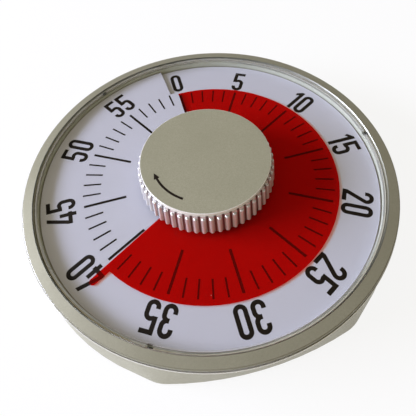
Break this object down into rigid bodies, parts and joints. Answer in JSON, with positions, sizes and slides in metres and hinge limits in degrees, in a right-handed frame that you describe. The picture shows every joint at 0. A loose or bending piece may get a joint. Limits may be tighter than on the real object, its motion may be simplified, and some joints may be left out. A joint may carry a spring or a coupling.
{
  "type": "visual countdown timer",
  "caption": "Round wind-up visual countdown timer: ribbed centre knob, white minute dial, red film that shows the time left, silver bezel, fold-out leg on the back.",
  "frame": {"origin": "on the back face, on the axis of the knob", "axes": "+Z out of the dial, +Y towards the 0 mark, +X towards the 15 mark"},
  "size_m": [0.1968, 0.19, 0.04],
  "materials": {
    "housing": "injection-moulded ABS, silver-painted, fine matt grain",
    "bezel": "silver-painted ABS, satin",
    "lens": "clear moulded polystyrene, polished",
    "dial": "printed white plastic sheet, satin",
    "film": "translucent red PET sheet, gloss",
    "moulding": "moulded ABS, grey-beige, fine matt grain",
    "knob": "silver-painted ABS, satin",
    "steel": "turned and ground steel",
    "spring": "blued spring steel",
    "brass": "stamped brass, lacquered",
    "bell": "pressed steel, nickel-plated",
    "screw": "zinc-plated steel",
    "magnet": "nickel-plated magnet"
  },
  "bodies": {
    "case": {"back_shell": "housing", "dial_carrier": "moulding", "dial_plate": "dial", "lens": "lens", "bezel": "bezel", "mainspring": "spring", "spring_post": "steel", "rear_plate": "brass", "front_plate": "brass", "pillars": "brass", "pillar_screws": "screw", "bell": "bell", "bell_post": "steel", "bell_nut": "screw", "housing_screws": "screw", "magnets": "magnet", "stand_pin": "steel"},
    "knob": {"knob_body": "knob", "knob_cap": "knob", "knob_screw": "screw", "main_arbor": "steel", "main_wheel": "brass", "clutch_washer": "spring", "snail_cam": "brass"},
    "film": {"red_film": "film", "film_hub": "moulding"},
    "second": {"second_wheel": "brass", "second_arbor": "steel"},
    "third": {"third_wheel": "brass", "third_arbor": "steel"},
    "escape": {"escape_wheel": "brass", "escape_arbor": "steel"},
    "balance": {"balance_wheel": "brass", "balance_staff": "steel"},
    "trip": {"trip_lever": "steel", "trip_staff": "steel"},
    "hammer": {"hammer_arm": "steel", "hammer_head": "brass", "hammer_staff": "steel"},
    "leg": {"stand_leg": "housing"}
  },
  "joints": [
    {"name": "knob_turn", "type": "hinge", "parent": "case", "child": "knob", "pos_m": [0, 0, 0.02], "axis": [0, 0, -1], "range_deg": [-238.4, 119.6], "deforming": ["mainspring"]},
    {"name": "film_rise", "type": "slide", "parent": "knob", "child": "film", "axis": [0, 0, 1], "range_m": [-0.00106, 0.00053]},
    {"name": "second_wheel_turn", "type": "hinge", "parent": "case", "child": "second", "pos_m": [-0.01819, 0.0105, 0.0127], "axis": [0, 0, -1], "range_deg": [-717.61, 1430.41]},
    {"name": "third_wheel_turn", "type": "hinge", "parent": "case", "child": "third", "pos_m": [-0.02069, 0.02468, 0.0127], "axis": [0, 0, -1], "range_deg": [-7152.01, 3588.01]},
    {"name": "escape_wheel_turn", "type": "hinge", "parent": "case", "child": "escape", "pos_m": [-0.00978, 0.03098, 0.0127], "axis": [0, 0, -1], "range_deg": [-17940.01, 35760.01]},
    {"name": "balance_swing", "type": "hinge", "parent": "case", "child": "balance", "pos_m": [-0.00032, 0.03265, 0.0127], "axis": [0, 0, 1], "range_deg": [-30, 30]},
    {"name": "trip_lever_swing", "type": "hinge", "parent": "case", "child": "trip", "pos_m": [-0.016, -0.018, 0.0108], "axis": [0, 0, 1], "range_deg": [-3.7, 1.9]},
    {"name": "hammer_swing", "type": "hinge", "parent": "case", "child": "hammer", "pos_m": [0.0137, -0.02556, 0.0122], "axis": [0, 0, 1], "range_deg": [-5, 3.7]},
    {"name": "leg_fold", "type": "hinge", "parent": "case", "child": "leg", "pos_m": [0, 0.041, 0.0026], "axis": [1, 0, 0], "range_deg": [0, 45]}
  ],
  "couplings": [
    {"joint": "film_rise", "follows": "knob_turn", "m_per_rad": 0.00025465},
    {"joint": "second_wheel_turn", "follows": "knob_turn", "ratio": -6},
    {"joint": "third_wheel_turn", "follows": "knob_turn", "ratio": 30},
    {"joint": "escape_wheel_turn", "follows": "knob_turn", "ratio": -150},
    {"joint": "trip_lever_swing", "follows": "knob_turn", "ratio": 0.015313}
  ]
}
